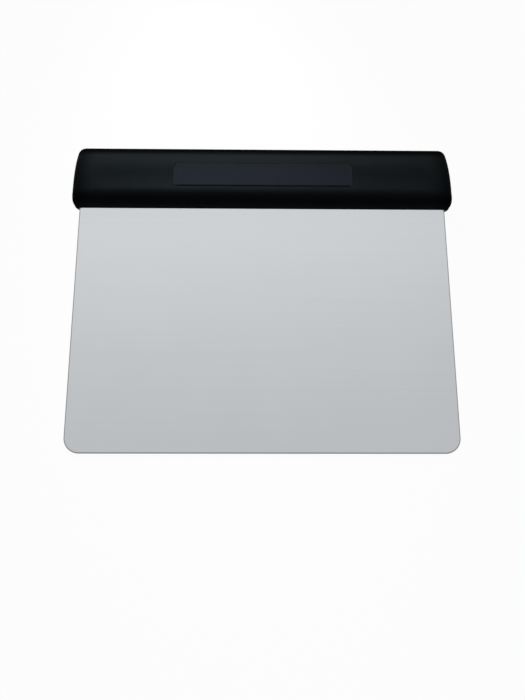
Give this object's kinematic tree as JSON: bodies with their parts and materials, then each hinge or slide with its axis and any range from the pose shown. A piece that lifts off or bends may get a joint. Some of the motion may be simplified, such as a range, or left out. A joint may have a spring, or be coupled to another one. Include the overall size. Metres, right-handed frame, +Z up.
{
  "type": "dough scraper",
  "caption": "Bench dough scraper: a flat rectangular steel blade with rounded lower corners, clamped by its tang in a straight hollow black handle with a finger groove and a blank label plate.",
  "frame": {"origin": "on the surface that the scraper lies on, under the middle of its bounding box", "axes": "+X along the handle, +Y from the scraping edge towards the handle, +Z up, with the labelled front facing up"},
  "size_m": [0.1538, 0.1266, 0.0175],
  "materials": {
    "blade_steel": "fine satin stainless sheet",
    "handle_plastic": "matte black moulded plastic with a fine texture",
    "label_plastic": "smooth dark grey-black plastic, blank",
    "screw_steel": "plain zinc-plated steel"
  },
  "bodies": {
    "root": {"blade": "blade_steel", "front_shell": "handle_plastic", "rear_shell": "handle_plastic", "label_plate": "label_plastic", "shell_screw_left": "screw_steel", "shell_screw_middle": "screw_steel", "shell_screw_right": "screw_steel"}
  },
  "joints": []
}
